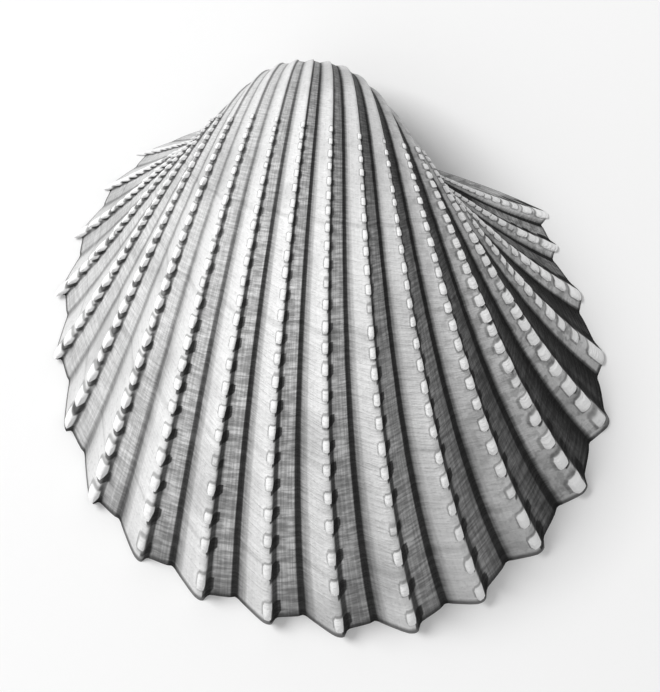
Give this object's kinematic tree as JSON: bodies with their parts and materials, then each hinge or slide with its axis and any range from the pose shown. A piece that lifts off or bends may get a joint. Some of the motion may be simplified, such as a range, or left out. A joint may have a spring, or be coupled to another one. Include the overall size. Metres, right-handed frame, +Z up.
{
  "type": "cockle shell",
  "caption": "Single cockle valve lying on its rim: a domed, hollow sea shell with strong radial ribs, beaded crests and a curled beak.",
  "frame": {"origin": "middle of the footprint, on the plane that the rim rests on", "axes": "+Z up out of the domed side, +Y towards the beak and hinge, -Y towards the belly edge, +X towards the wing"},
  "size_m": [0.062, 0.064, 0.025],
  "materials": {
    "shell": "matt chalky shell, pale grey crests and darker grooves outside, smooth and porcelain-like inside"
  },
  "bodies": {
    "root": {"valve": "shell"}
  },
  "joints": []
}
